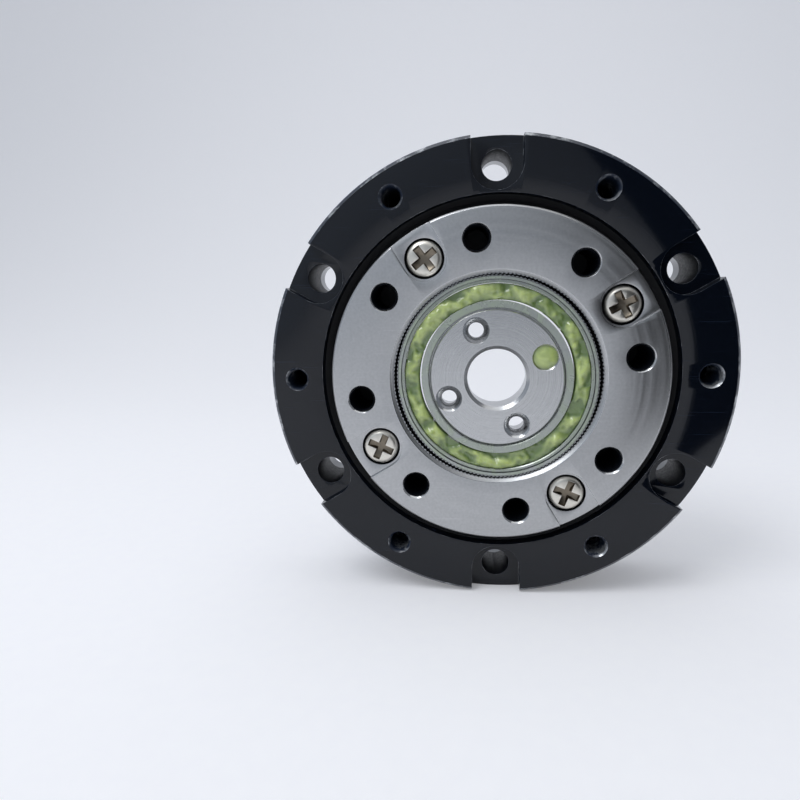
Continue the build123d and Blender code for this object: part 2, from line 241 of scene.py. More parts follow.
def turned(profile, segments, bend=None, slots=None):
    """A mesh turned round the gear axis through (radius, depth) points; bend gives each its radius.

    slots holds a material slot for each stretch of the profile.
    """
    mesh = bmesh.new()
    rings = []
    for step in range(segments):
        angle = 360 * step / segments
        rings.append([
            mesh.verts.new(polar(bend(radius, depth, angle) if bend else radius, angle, depth))
            for radius, depth in profile
        ])
    bridge(mesh, rings + rings[:1], slots)
    bmesh.ops.remove_doubles(mesh, verts=mesh.verts, dist=1e-8)
    bmesh.ops.recalc_face_normals(mesh, faces=mesh.faces)
    return mesh


def stacked(levels):
    """A closed mesh through levels of points, front to rear, with as many points in each."""
    mesh = bmesh.new()
    loops = [[mesh.verts.new(point) for point in level] for level in levels]
    mesh.faces.new(loops[0])
    mesh.faces.new(loops[-1][::-1])
    bridge(mesh, loops)
    bmesh.ops.recalc_face_normals(mesh, faces=mesh.faces)
    return mesh


def prism(outline, front, rear):
    """A closed mesh between two depths over an outline of (x, z) points."""
    return stacked([[(x, depth, z) for x, z in outline] for depth in (front, rear)])


def baked(name, mesh):
    """Mesh data from a bmesh, which is freed."""
    data = bpy.data.meshes.new(name)
    mesh.to_mesh(data)
    mesh.free()
    return data


def gathered(meshes):
    """Several bmeshes as one."""
    total = bmesh.new()
    for part in meshes:
        data = baked("part", part)
        total.from_mesh(data)
        bpy.data.meshes.remove(data)
    return total


def moved(mesh, place):
    """The bmesh after a shift, or after a full matrix."""
    matrix = place if isinstance(place, Matrix) else Matrix.Translation(place)
    bmesh.ops.transform(mesh, matrix=matrix, verts=mesh.verts)
    return mesh


def placed(name, data):
    """A new scene object with this data."""
    made = bpy.data.objects.new(name, data)
    bpy.context.scene.collection.objects.link(made)
    return made


def shade(data, smooth=SMOOTH_ANGLE):
    """Makes mesh data smooth except at edges over that angle."""
    data.shade_smooth()
    data.set_sharp_from_angle(angle=math.radians(smooth))


def piece(name, mesh, *finishes, smooth=SMOOTH_ANGLE):
    """A scene object from a bmesh, with its materials, smooth except at edges over that angle."""
    made = placed(name, baked(name, mesh))
    for finish in finishes:
        made.data.materials.append(finish)
    shade(made.data, smooth)
    return made


def settle(made):
    """Applies the object's modifiers to its mesh."""
    bpy.context.view_layer.update()
    evaluated = made.evaluated_get(bpy.context.evaluated_depsgraph_get())
    data = bpy.data.meshes.new_from_object(evaluated)
    made.modifiers.clear()
    made.data = data
    shade(data)


def cut(made, *tools):
    """Cuts the tools' joined shape out of the object."""
    tool = placed("tool", baked("tool", gathered(tools)))
    boolean = made.modifiers.new("cut", "BOOLEAN")
    boolean.operation = "DIFFERENCE"
    boolean.solver = "EXACT"
    boolean.object = tool
    settle(made)
    bpy.data.objects.remove(tool)


def round_edges(made, width, material_index=-1):
    """Rounds the sharp edges, with a material of their own where an index is given."""
    bevel = made.modifiers.new("round", "BEVEL")
    bevel.width = width
    bevel.segments = 2
    bevel.limit_method = "ANGLE"
    bevel.angle_limit = math.radians(EDGE_ANGLE)
    bevel.material = material_index
    settle(made)


def hold_within(made, radius):
    """Pulls the points that the rounding pushed over a rim back onto it."""
    for vertex in made.data.vertices:
        reach = math.hypot(vertex.co.x, vertex.co.z)
        if reach > radius:
            vertex.co.x *= radius / reach
            vertex.co.z *= radius / reach


def drill(radius, place, front, rear, wall=0):
    """A cutter for a round hole between two depths; wall is the material slot of its wall."""
    outline = [(0, front - HOLE_LEAD), (radius, front - HOLE_LEAD), (radius, rear), (0, rear)]
    return moved(turned(outline, 40, slots=[wall] * 4), place)


def tap(radius, place, front, rear, chamfer, sizes, rim=1, wall=0):
    """A cutter for a tapped hole: a chamfer and ridges of thread between two depths.

    rim and wall are the material slots of the chamfer and of the threads.
    """
    pitch, crest = sizes.thread_pitch, radius - sizes.thread_height
    outline = [(0, front - HOLE_LEAD), (radius + chamfer + HOLE_LEAD, front - HOLE_LEAD),
               (radius, front + chamfer)]
    depth = front + chamfer
    while depth + pitch < rear:
        outline += [(crest, depth + 0.45 * pitch), (crest, depth + 0.55 * pitch),
                    (radius, depth + pitch)]
        depth += pitch
    outline += [(radius, rear), (0, rear)]
    slots = [rim, rim] + [wall] * (len(outline) - 2)
    return moved(turned(outline, 36, slots=slots), place)


def open_recess(centre_radius, angle, radius, reach, front, rear):
    """A cutter for a recess with a round inner end that is open at the rim."""
    along, across = directions(angle)
    centre = along * centre_radius
    steps = 24
    points = []
    for step in range(steps + 1):
        turn = math.radians(90 + 180 * step / steps)
        at = centre + along * (radius * math.cos(turn)) + across * (radius * math.sin(turn))
        points.append((at.x, at.z))
    for side in (-1, 1):
        at = along * reach + across * (side * radius)
        points.append((at.x, at.z))
    return prism(points, front, rear)


def circle_angles(count, roll):
    """The angles of a circle of holes, in degrees."""
    return [roll + 360 * number / count for number in range(count)]


# Shader node groups


def link(tree, made, inputs):
    """Fills a node's inputs: a socket is linked, another value is set."""
    for name, value in inputs.items():
        if isinstance(value, bpy.types.NodeSocket):
            tree.links.new(value, made.inputs[name])
        else:
            made.inputs[name].default_value = value


def node(tree, kind, inputs=None, **settings):
    """The outputs of a new node with these inputs and settings."""
    made = tree.nodes.new(kind)
    for name, value in settings.items():
        setattr(made, name, value)
    link(tree, made, inputs or {})
    return made.outputs


def combined(tree, operation, first, second):
    """A math node's value."""
    return node(tree, "ShaderNodeMath", {0: first, 1: second}, operation=operation)["Value"]


def spread(tree, value, low, high, start=0.25, end=0.75):
    """A value between start and end, spread from low to high."""
    return node(tree, "ShaderNodeMapRange", {
        "Value": value, "From Min": start, "From Max": end, "To Min": low, "To Max": high,
    })["Result"]


def clouds(tree, scale, **inputs):
    """Noise over the object, from 0 to 1."""
    coordinates = node(tree, "ShaderNodeTexCoord")["Object"]
    return node(tree, "ShaderNodeTexNoise", {
        "Vector": coordinates, "Scale": scale, **inputs,
    })["Fac"]


def bumped(tree, height, strength, distance):
    """A normal that follows a height."""
    return node(tree, "ShaderNodeBump", {
        "Height": height, "Strength": strength, "Distance": distance,
    })["Normal"]


def new_group(name, inputs, outputs):
    """An empty shader node group with float inputs (name, default) and outputs (name, type)."""
    group = bpy.data.node_groups.new(name, "ShaderNodeTree")
    for label, default in inputs:
        socket = group.interface.new_socket(label, in_out="INPUT", socket_type="NodeSocketFloat")
        socket.default_value = default
    for label, kind in outputs:
        group.interface.new_socket(label, in_out="OUTPUT", socket_type=kind)
    return group, group.nodes.new("NodeGroupInput"), group.nodes.new("NodeGroupOutput")


def shared(builder):
    """Builds a node group the first time only, and keeps it after that."""
    def kept():
        name = builder.__name__
        return bpy.data.node_groups.get(name) or builder(name)
    return kept


@shared
def thin_scratches(name):
    """Thin straight scratches in three directions, as a mask."""
    group, given, result = new_group(
        name, [("Scale", 1.0), ("Amount", 0.5)], [("Mask", "NodeSocketFloat")]
    )
    coordinates = node(group, "ShaderNodeTexCoord")["Object"]
    total = 0.0
    for turn, shift in ((0.35, 0.0), (-0.9, 1.7), (1.45, 3.1)):
        stretched = node(group, "ShaderNodeMapping", {
            "Vector": coordinates, "Location": (shift, 0, shift), "Rotation": (0, turn, 0),
            "Scale": (180, 400, 9000),
        })["Vector"]
        lines = node(group, "ShaderNodeTexNoise", {
            "Vector": stretched, "Scale": given.outputs["Scale"], "Detail": 2.0, "Roughness": 0.6,
        })["Fac"]
        total = combined(group, "MAXIMUM", total, spread(group, lines, 0.0, 1.0, 0.66, 0.74))
    link(group, result, {"Mask": combined(group, "MULTIPLY", total, given.outputs["Amount"])})
    return group


@shared
def metal_grain(name):
    """Fine metal grain: a value from 0 to 1 and a bumped normal."""
    group, given, result = new_group(
        name, [("Scale", 4000.0), ("Height", 0.2)],
        [("Value", "NodeSocketFloat"), ("Normal", "NodeSocketVector")],
    )
    fine = clouds(group, given.outputs["Scale"], Detail=4.0)
    normal = bumped(group, fine, given.outputs["Height"], MARK_DEPTH)
    link(group, result, {"Value": fine, "Normal": normal})
    return group


@shared
def turning_marks(name):
    """Concentric turning marks round the gear axis: a value from 0 to 1 and a bumped normal."""
    group, given, result = new_group(
        name, [("Lines", 9000.0), ("Height", 0.2)],
        [("Value", "NodeSocketFloat"), ("Normal", "NodeSocketVector")],
    )
    coordinates = node(group, "ShaderNodeTexCoord")["Object"]
    flat = node(group, "ShaderNodeVectorMath", {0: coordinates, 1: (1, 0, 1)},
                operation="MULTIPLY")["Vector"]
    radius = node(group, "ShaderNodeVectorMath", {0: flat}, operation="LENGTH")["Value"]
    marks = node(group, "ShaderNodeTexNoise", {
        "W": combined(group, "MULTIPLY", radius, given.outputs["Lines"]),
        "Scale": 1.0, "Detail": 3.0,
    }, noise_dimensions="1D")["Fac"]
    normal = bumped(group, marks, given.outputs["Height"], MARK_DEPTH)
    link(group, result, {"Value": marks, "Normal": normal})
    return group


# Materials


def material(name, **constants):
    """A new material, its node tree and its Principled BSDF, with constant inputs set."""
    made = bpy.data.materials.new(name)
    made.use_nodes = True
    shader = made.node_tree.nodes["Principled BSDF"]
    for socket, value in constants.items():
        shader.inputs[socket.replace("_", " ")].default_value = value
    return made, made.node_tree, shader


def rgba(colour, gain=1.0):
    """A colour property as four numbers, made lighter or darker by gain."""
    return (*(min(1.0, part * gain) for part in colour), 1.0)


def mixed(tree, factor, first, second):
    """A colour between two others."""
    return node(tree, "ShaderNodeMix", {0: factor, 6: first, 7: second}, data_type="RGBA")[2]


def use(tree, group, **values):
    """The outputs of a node group in a material."""
    return node(tree, "ShaderNodeGroup", values, node_tree=group)


def once(maker):
    """Calls the maker the first time only, and keeps its material after that."""
    def kept():
        name = f"{maker.__name__}_finish"
        return bpy.data.materials.get(name) or maker(name, bpy.context.scene.gear_colours)
    return kept


@once
def black_steel(name, colours):
    """The housing's smooth blackened steel."""
    made, tree, shader = material(name, Specular_IOR_Level=0.3, Coat_Weight=0.2,
                                  Coat_Roughness=0.05)
    scratches = use(tree, thin_scratches(), Scale=1.0, Amount=0.25)
    marks = use(tree, turning_marks(), Lines=16000.0, Height=0.12)
    link(tree, shader, {
        "Base Color": mixed(tree, scratches["Mask"], rgba(colours.black),
                            rgba(colours.black, 8)),
        "Roughness": spread(tree, marks["Value"], 0.07, 0.15),
        "Normal": marks["Normal"],
    })
    return made


@once
def worn_edge(name, colours):
    """Blackened steel that is worn bright in patches."""
    made, tree, shader = material(name, Roughness=0.3, Specular_IOR_Level=0.7)
    patches = clouds(tree, 700.0, Detail=5.0, Roughness=0.7)
    bare = spread(tree, patches, 0.0, 0.85, start=0.5, end=0.62)
    link(tree, shader, {
        "Base Color": mixed(tree, bare, rgba(colours.black, 4), rgba(colours.race, 1.4)),
        "Metallic": bare,
    })
    return made


def metal(name, colour, rough, tint, lines, grain, height):
    """A metal with turning marks, grain and light scratches.

    tint is how much its colour varies; lines and grain say how fine its marks are.
    """
    made, tree, shader = material(name, Metallic=1.0)
    marks = use(tree, turning_marks(), Lines=lines, Height=height)
    grains = use(tree, metal_grain(), Scale=grain, Height=height)
    scratches = use(tree, thin_scratches(), Scale=1.3, Amount=0.22)
    tone = mixed(tree, grains["Value"], rgba(colour, 1 - tint), rgba(colour, 1 + tint))
    both = node(tree, "ShaderNodeVectorMath", {0: marks["Normal"], 1: grains["Normal"]},
                operation="ADD")["Vector"]
    link(tree, shader, {
        "Base Color": mixed(tree, scratches["Mask"], tone, rgba(colour, 1.45)),
        "Roughness": spread(tree, marks["Value"], rough - 0.06, rough + 0.06),
        "Normal": node(tree, "ShaderNodeVectorMath", {0: both}, operation="NORMALIZE")["Vector"],
    })
    return made


@once
def spline_steel(name, colours):
    """The circular spline's satin steel."""
    return metal(name, colours.spline, rough=0.36, tint=0.14, lines=2500.0, grain=5200.0,
                 height=0.25)


@once
def plug_steel(name, colours):
    """The cam plug's bright steel."""
    return metal(name, colours.plug, rough=0.24, tint=0.08, lines=9000.0, grain=3000.0,
                 height=0.14)


@once
def race_steel(name, colours):
    """The steel of the balls and rollers."""
    return metal(name, colours.race, rough=0.22, tint=0.08, lines=14000.0, grain=6000.0,
                 height=0.2)


@once
def spring_steel(name, colours):
    """The steel of the flexspline and the teeth."""
    return metal(name, colours.race, rough=0.34, tint=0.12, lines=8000.0, grain=6000.0,
                 height=0.2)


@once
def greased_steel(name, colours):
    """A race's rim under a film of grease."""
    made, tree, shader = material(name, Coat_Weight=0.6, Coat_Roughness=0.05)
    smears = clouds(tree, 600.0, Detail=4.0, Distortion=1.0)
    link(tree, shader, {
        "Base Color": mixed(tree, spread(tree, smears, 0.0, 1.0), rgba(colours.race),
                            rgba(colours.greased)),
        "Metallic": spread(tree, smears, 0.7, 0.2),
        "Roughness": spread(tree, smears, 0.18, 0.34),
        "Normal": bumped(tree, smears, 0.35, 0.05 * MM),
    })
    return made


@once
def nickel(name, colours):
    """The output screws' nickel plate."""
    return metal(name, colours.nickel, rough=0.34, tint=0.07, lines=4000.0, grain=2600.0,
                 height=0.18)


@once
def cut_steel(name, colours):
    """Freshly cut steel on chamfers and rounded edges."""
    return metal(name, colours.plug, rough=0.17, tint=0.06, lines=6000.0, grain=4000.0,
                 height=0.1)


@once
def bore_steel(name, colours):
    """Smooth steel inside the flange holes."""
    return metal(name, colours.bore, rough=0.12, tint=0.05, lines=3000.0, grain=2600.0,
                 height=0.08)


@once
def slot_steel(name, colours):
    """Dull brownish steel inside the cross recesses, painted far darker than the nickel as painted
    shade.
    """
    return metal(name, colours.slot, rough=0.32, tint=0.12, lines=5000.0, grain=5000.0,
                 height=0.3)


def grainy(name, dark, pale, rough, specular, scale, height):
    """A dull finish with fine grain between two colours and the two values of rough."""
    made, tree, shader = material(name, Specular_IOR_Level=specular)
    grain = use(tree, metal_grain(), Scale=scale, Height=height)
    link(tree, shader, {
        "Base Color": mixed(tree, grain["Value"], dark, pale),
        "Roughness": spread(tree, grain["Value"], *rough),
        "Normal": grain["Normal"],
    })
    return made


@once
def dark_bore(name, colours):
    """Near-black hole walls: painted shade inside the load holes, the screw pockets and the flange
    holes.
    """
    return grainy(name, rgba(colours.black, 0.3), rgba(colours.black, 1.2), rough=(0.35, 0.6),
                  specular=0.25, scale=5200.0, height=0.3)


@once
def rubber(name, colours):
    """The gap seal's rubber."""
    return grainy(name, rgba(colours.rubber, 0.7), rgba(colours.rubber, 1.6),
                  rough=(0.45, 0.65), specular=0.4, scale=9000.0, height=0.4)


@once
def nylon(name, colours):
    """The cage's brown nylon."""
    return grainy(name, (0.10, 0.09, 0.05, 1), (0.20, 0.19, 0.10, 1), rough=(0.3, 0.45),
                  specular=0.5, scale=5000.0, height=0.25)


@once
def grease(name, colours):
    """Yellow-green grease, with painted shade that makes it darker in its dips."""
    made, tree, shader = material(
        name, IOR=1.45, Coat_Weight=1.0, Coat_Roughness=0.03,
        Subsurface_Weight=0.6, Subsurface_Scale=0.4 * MM, Subsurface_Radius=(1.0, 1.0, 0.35),
    )
    lumps = clouds(tree, 1400.0, Detail=4.0, Distortion=0.6)
    coordinates = node(tree, "ShaderNodeTexCoord")["Object"]
    depth = node(tree, "ShaderNodeSeparateXYZ", {"Vector": coordinates})["Y"]
    # Painted shade: the colour goes from the pale grease on the raised lumps to the darker shade
    # colour where the surface lies back, varied by the lump noise.
    raised = spread(tree, depth, 0.0, 1.0, start=GREASE_LEVEL - 0.05 * MM,
                    end=GREASE_LEVEL - 0.26 * MM)
    pale = combined(tree, "MULTIPLY", raised, spread(tree, lumps, 0.45, 1.0))
    link(tree, shader, {
        "Base Color": mixed(tree, pale, rgba(colours.grease_shade), rgba(colours.grease)),
        "Roughness": spread(tree, lumps, 0.12, 0.3),
        "Normal": bumped(tree, lumps, 0.7, 0.1 * MM),
    })
    return made


@once
def studio_paper(name, colours):
    """Matt paper that glows faintly where the camera or a reflection sees it."""
    made, tree, shader = material(name, Roughness=0.9, Specular_IOR_Level=0.2)
    paper = mixed(tree, clouds(tree, 900.0, Detail=3.0), rgba(colours.backdrop, 0.985),
                  rgba(colours.backdrop, 1.015))
    rays = node(tree, "ShaderNodeLightPath")
    seen = rays["Is Camera Ray"]
    for kind in ("Is Glossy Ray", "Is Transmission Ray"):
        seen = combined(tree, "MAXIMUM", seen, rays[kind])
    link(tree, shader, {
        "Base Color": paper, "Emission Color": paper,
        "Emission Strength": combined(tree, "MULTIPLY", seen, PAPER_GLOW),
    })
    return made


@once
def black_cloth(name, colours):
    """The flag's matt black cloth."""
    made, tree, shader = material(name, Roughness=0.95, Specular_IOR_Level=0.1)
    weave = clouds(tree, 300.0)
    link(tree, shader, {
        "Base Color": mixed(tree, weave, rgba(colours.rubber, 0.6), rgba(colours.rubber)),
    })
    return made


# Pieces


def toothed(count, root, tip, front, rear, outwards, bend=None):
    """A ring of tooth prisms; bend gives a radius from a mean radius and an angle."""
    teeth = []
    pitch = 360 / count
    foot, land = TOOTH_FOOT * pitch, TOOTH_LAND * pitch
    sunk = root + 0.03 * MM * (-1 if outwards else 1)
    for number in range(count):
        centre = CAM_ROLL + (number + (0 if outwards else 0.5)) * pitch
        outline = []
        for radius, shift in ((sunk, -foot), (root, -foot), (tip, -land),
                              (tip, land), (root, foot), (sunk, foot)):
            at = polar(bend(radius, centre + shift) if bend else radius, centre + shift)
            outline.append((at.x, at.z))
        teeth.append(prism(outline, front, rear))
    return gathered(teeth)


class OBJECT_OT_gear_housing(bpy.types.Operator):
    """Builds the black outer ring with its recesses, holes and worn edges"""

    bl_idname = "object.gear_housing"
    bl_label = "Housing ring"

    def execute(self, context):
        sizes = context.scene.gear_sizes
        chamfer = 0.25 * MM
        ring = piece("housing_ring", turned([
            (GAP_BORE_RADIUS, HOUSING_FRONT),
            (HOUSING_RADIUS - chamfer, HOUSING_FRONT),
            (HOUSING_RADIUS, HOUSING_FRONT + chamfer),
            (HOUSING_RADIUS, HOUSING_REAR),
            (RACE_BORE_RADIUS, HOUSING_REAR),
            (RACE_BORE_RADIUS, GAP_DEPTH),
            (GAP_BORE_RADIUS, GAP_DEPTH),
        ], sizes.facets, slots=[0, 1, 0, 0, 0, 0, 0]), black_steel(), worn_edge(), dark_bore())
        rear = HOUSING_REAR + SPARE
        holes = circle_angles(FLANGE_COUNT, FLANGE_ROLL)
        cut(ring, *(open_recess(FLANGE_CIRCLE, angle, RECESS_RADIUS, HOUSING_RADIUS + SPARE,
                                -SPARE, RECESS_DEPTH) for angle in holes))
        # The flange holes' walls take slot 2, the near-black painted shade.
        cut(ring, *(drill(FLANGE_HOLE, polar(FLANGE_CIRCLE, angle), 0, rear, wall=2)
                    for angle in holes))
        round_edges(ring, 1.6 * sizes.edge_round, 1)
        hold_within(ring, HOUSING_RADIUS)
        half_pitch = 180 / FLANGE_COUNT
        cut(ring, *(tap(TAPPED_RADIUS, polar(FLANGE_CIRCLE, angle + half_pitch), 0, rear,
                        THREAD_CHAMFER, sizes, wall=1) for angle in holes))
        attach(ring, "housing")
        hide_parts("outer_ring")
        lip, outer, groove = SPLINE_RADIUS + 0.08 * MM, GAP_BORE_RADIUS - 0.02 * MM, 0.35 * MM
        seal = piece("gap_seal_ring", turned([
            (lip, SEAL_FRONT), ((lip + GAP_BORE_RADIUS) / 2, SEAL_FRONT + groove),
            (outer, SEAL_FRONT), (outer, SEAL_REAR), (RACE_BORE_RADIUS, SEAL_REAR),
        ], sizes.facets), rubber())
        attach(seal, "housing")
        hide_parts("gap_seal")
        return {"FINISHED"}


class OBJECT_OT_gear_output(bpy.types.Operator):
    """Builds the silver circular spline with its teeth, load holes and screw recesses"""

    bl_idname = "object.gear_output"
    bl_label = "Circular spline"

    def execute(self, context):
        sizes = context.scene.gear_sizes
        chamfer, edge, relief = 0.25 * MM, 0.15 * MM, 8.6 * MM
        rear_width, rear_depth = 0.8 * MM, 0.9 * MM
        ring = piece("output_ring", turned([
            (SPLINE_ROOT_RADIUS + chamfer, SPLINE_FRONT),
            (SPLINE_RADIUS - edge, SPLINE_FRONT),
            (SPLINE_RADIUS, SPLINE_FRONT + edge),
            (SPLINE_RADIUS, SPLINE_REAR - rear_depth),
            (SPLINE_RADIUS - rear_width, SPLINE_REAR),
            (relief, SPLINE_REAR),
            (relief, SPLINE_TOOTH_REAR),
            (SPLINE_ROOT_RADIUS, SPLINE_TOOTH_REAR),
            (SPLINE_ROOT_RADIUS, TOOTH_FRONT),
        ], sizes.facets), spline_steel(), cut_steel(), dark_bore())
        rear = SPLINE_REAR + SPARE
        pocket_floor, seat = SCREW_FLOOR + 0.4 * MM, SCREW_FLOOR - 0.05 * MM
        thread_radius = OUTPUT_HOLE - 0.1 * MM
        screws = circle_angles(SCREW_COUNT, SCREW_ROLL)
        cut(ring, *(open_recess(OUTPUT_CIRCLE, angle, SCREW_RECESS_RADIUS, SPLINE_RADIUS + SPARE,
                                SPLINE_FRONT - SPARE, SCREW_CHANNEL) for angle in screws))
        # Slot 2 on the walls of the screw pockets, load holes and screw holes is the near-black
        # painted shade.
        cut(ring, *(drill(SCREW_POCKET_RADIUS, polar(OUTPUT_CIRCLE, angle), SCREW_CHANNEL,
                          pocket_floor, wall=2) for angle in screws))
        round_edges(ring, 1.4 * sizes.edge_round, 1)
        hold_within(ring, SPLINE_RADIUS)
        cut(ring, *(tap(thread_radius, polar(OUTPUT_CIRCLE, angle), SPLINE_FRONT, rear,
                        THREAD_CHAMFER, sizes, wall=2)
                    for angle in circle_angles(OUTPUT_COUNT, OUTPUT_ROLL)))
        cut(ring, *(drill(SCREW_HOLE_RADIUS, polar(OUTPUT_CIRCLE, angle), seat, rear, wall=2)
                    for angle in screws))
        teeth = piece("output_teeth", toothed(
            SPLINE_TEETH, SPLINE_ROOT_RADIUS, SPLINE_TIP_RADIUS, TOOTH_FRONT, SPLINE_TOOTH_REAR,
            outwards=False,
        ), spring_steel(), smooth=20)
        for made in (ring, teeth):
            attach(made, "output")
            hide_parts("circular_spline")
        return {"FINISHED"}


def pan_head_screw():
    """Outline of a screw whose rounded head sits on depth 0."""
    crown, edge, length, steps = 0.55 * MM, 0.02 * MM, 4.5 * MM, 8
    points = [(0, -SCREW_HEAD_HEIGHT)]
    for step in range(1, steps + 1):
        turn = math.radians(90 * step / steps)
        points.append((SCREW_HEAD_RADIUS - crown + crown * math.sin(turn),
                       -SCREW_HEAD_HEIGHT + crown * (1 - math.cos(turn))))
    return points + [
        (SCREW_HEAD_RADIUS, -edge), (SCREW_HEAD_RADIUS - edge, 0), (SCREW_SHANK_RADIUS, 0),
        (SCREW_SHANK_RADIUS, length), (0, length),
    ]


def countersunk_screw():
    """Outline of a screw whose flat head's face is at depth 0."""
    edge, length = 0.03 * MM, 1.2 * MM
    return [
        (0, 0), (BOSS_SCREW_RADIUS - edge, 0), (BOSS_SCREW_RADIUS, edge),
        (SCREW_SHANK_RADIUS, BOSS_SCREW_RADIUS - 0.75 * MM), (SCREW_SHANK_RADIUS, length),
        (0, length),
    ]


def cross_recess(top):
    """Two cutters for a cross recess that narrows with depth."""
    cutters = []
    for turn in (0, 90):
        levels = []
        for depth, share in ((-0.1 * MM, 1.04), (0.25 * MM, 0.9), (0.5 * MM, 0.45)):
            long, short = CROSS_REACH * share, CROSS_WIDTH * (0.5 + 0.5 * share)
            levels.append([(x * long, top + depth, z * short)
                           for x, z in ((-1, -1), (1, -1), (1, 1), (-1, 1))])
        mesh = stacked(levels)
        # Slot 1 on the recess faces is the darker painted shade.
        for face in mesh.faces:
            face.material_index = 1
        cutters.append(moved(mesh, Matrix.Rotation(math.radians(turn), 4, "Y")))
    return cutters


class OBJECT_OT_gear_screws(bpy.types.Operator):
    """Builds the four pan head screws in front and the six countersunk screws behind"""

    bl_idname = "object.gear_screws"
    bl_label = "Screws"

    def set_of(self, name, profile, top, places, turns, finish, body, node_name, slot_name):
        """Copies of one screw, each turned a different way about its own axis."""
        # The cross recesses get the second material, the darker painted shade.
        first = piece(f"{name}_1", turned(profile, 64), finish, slot_steel())
        for cutter in cross_recess(top):
            cut(first, cutter)
        round_edges(first, 0.025 * MM)
        for number, (place, turn) in enumerate(zip(places, turns), 1):
            made = first if number == 1 else placed(f"{name}_{number}", first.data)
            made.matrix_world = place @ Matrix.Rotation(math.radians(turn), 4, "Y")
            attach(made, body)
            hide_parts(node_name)

    def execute(self, context):
        self.set_of(
            "output_screw", pan_head_screw(), -SCREW_HEAD_HEIGHT,
            [Matrix.Translation(polar(OUTPUT_CIRCLE, angle, SCREW_FLOOR))
             for angle in circle_angles(SCREW_COUNT, SCREW_ROLL)],
            OUTPUT_SCREW_TURNS, nickel(), "output", "circular_spline_screws", "nickel_screws",
        )
        backwards = Matrix.Rotation(math.pi, 4, "Z")
        self.set_of(
            "boss_screw", countersunk_screw(), 0,
            [Matrix.Translation(polar(FLANGE_CIRCLE, angle, BOSS_REAR)) @ backwards
             for angle in circle_angles(FLANGE_COUNT, 0)],
            BOSS_SCREW_TURNS, black_steel(), "housing", "clamp_screws", "screw_steel",
        )
        return {"FINISHED"}


class OBJECT_OT_gear_flexspline(bpy.types.Operator):
    """Builds the thin toothed cup, its diaphragm and the boss behind the housing"""

    bl_idname = "object.gear_flexspline"
    bl_label = "Flexspline"

    def execute(self, context):
        sizes = context.scene.gear_sizes
        boss_bore = 13.0 * MM
        wall, corner, edge = 0.3 * MM, 0.2 * MM, 0.2 * MM
        front, rear = TOOTH_FRONT, DIAPHRAGM_DEPTH

        def bend(radius, depth, angle):
            if radius > FLEX_TIP_RADIUS + SPARE:
                return radius
            share = max(0.0, min(1.0, (rear - depth) / (rear - FLEX_TOOTH_REAR)))
            return radius + share * (oval(radius, angle) - radius)

        cup = piece("flexspline_cup", turned([
            (FLEX_BORE_RADIUS, front),
            (FLEX_ROOT_RADIUS, front),
            (FLEX_ROOT_RADIUS, FLEX_TOOTH_REAR),
            (FLEX_ROOT_RADIUS, rear - wall),
            (FLEX_ROOT_RADIUS + wall, rear),
            (boss_bore, rear),
            (boss_bore, HOUSING_REAR),
            (BOSS_RADIUS, HOUSING_REAR),
            (BOSS_RADIUS, BOSS_REAR - edge),
            (BOSS_RADIUS - edge, BOSS_REAR),
            (boss_bore, BOSS_REAR),
            (boss_bore, rear + wall),
            (FLEX_BORE_RADIUS + corner, rear + wall),
            (FLEX_BORE_RADIUS, rear),
            (FLEX_BORE_RADIUS, FLEX_TOOTH_REAR),
        ], sizes.facets, bend, [2] + [0] * 14), spring_steel(), bore_steel(), greased_steel())
        near, far, lead = HOUSING_REAR - SPARE, BOSS_REAR + SPARE, BOSS_REAR + HOLE_LEAD
        sink_radius, sink_depth = 1.65 * MM, 0.7 * MM
        sink = [(0, lead), (sink_radius, lead), (SCREW_HOLE_RADIUS, BOSS_REAR - sink_depth),
                (SCREW_HOLE_RADIUS, near), (0, near)]
        tools = [drill(FLANGE_HOLE, polar(FLANGE_CIRCLE, angle), near, far, wall=1)
                 for angle in circle_angles(FLANGE_COUNT, FLANGE_ROLL)]
        tools += [moved(turned(sink, 40), polar(FLANGE_CIRCLE, angle))
                  for angle in circle_angles(FLANGE_COUNT, FLANGE_ROLL + 180 / FLANGE_COUNT)]
        cut(cup, *tools)
        teeth = piece("flexspline_teeth", toothed(
            FLEX_TEETH, FLEX_ROOT_RADIUS, FLEX_TIP_RADIUS, front, FLEX_TOOTH_REAR,
            outwards=True, bend=oval,
        ), spring_steel(), smooth=20)
        for made in (cup, teeth):
            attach(made, "housing")
            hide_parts("flexspline")
        return {"FINISHED"}


